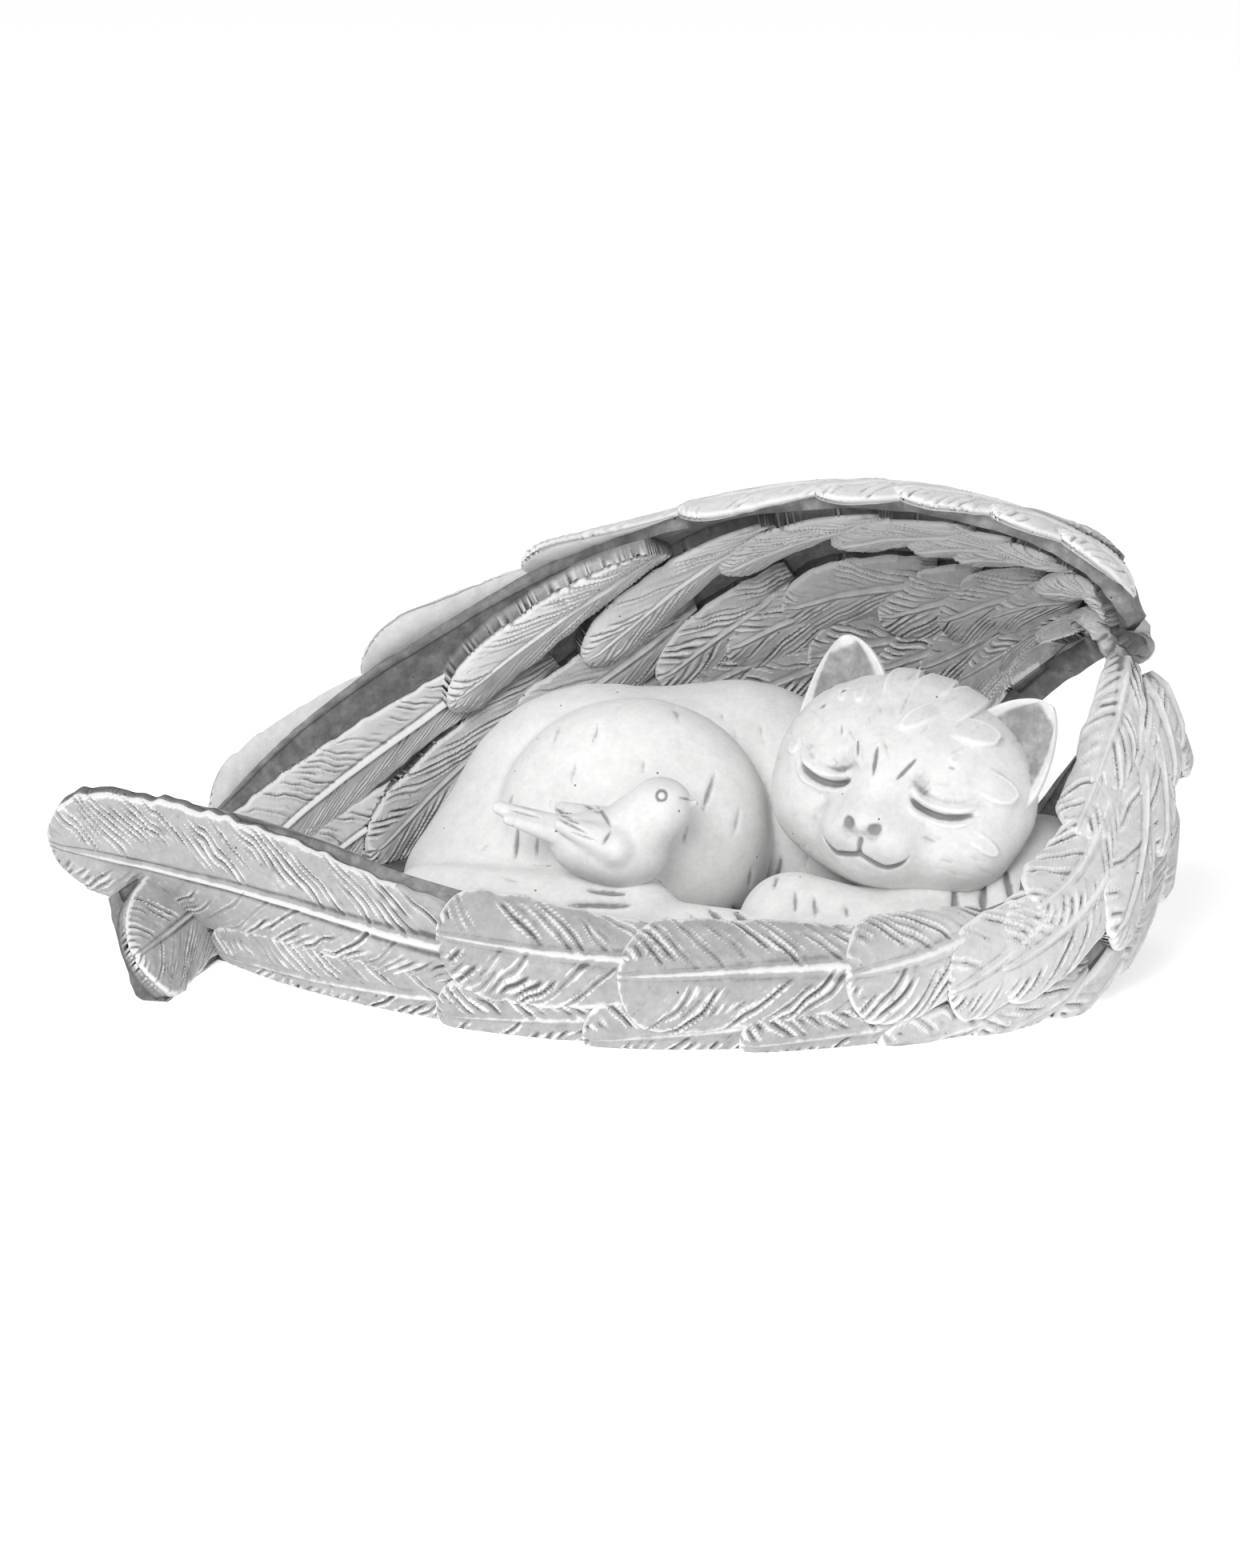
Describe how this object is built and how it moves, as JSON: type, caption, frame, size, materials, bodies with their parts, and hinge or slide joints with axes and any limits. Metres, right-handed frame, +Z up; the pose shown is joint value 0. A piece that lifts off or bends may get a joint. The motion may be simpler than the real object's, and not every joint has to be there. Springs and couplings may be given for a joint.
{
  "type": "pet memorial statue",
  "caption": "Cast garden memorial: a cat asleep in a pair of folded feathered wings that arch over it as a hood, with a small bird perched on its hind foot.",
  "frame": {"origin": "on the flat underside, below the middle of the nest", "axes": "+X towards the end with the cat's head, along the length; +Y towards the tall rear wing; +Z up from the flat underside"},
  "size_m": [0.2557, 0.1513, 0.1075],
  "materials": {
    "stone_resin": "matte off-white cast stone resin with a grey wash in the recesses"
  },
  "bodies": {
    "root": {"memorial_statue": "stone_resin"}
  },
  "joints": []
}
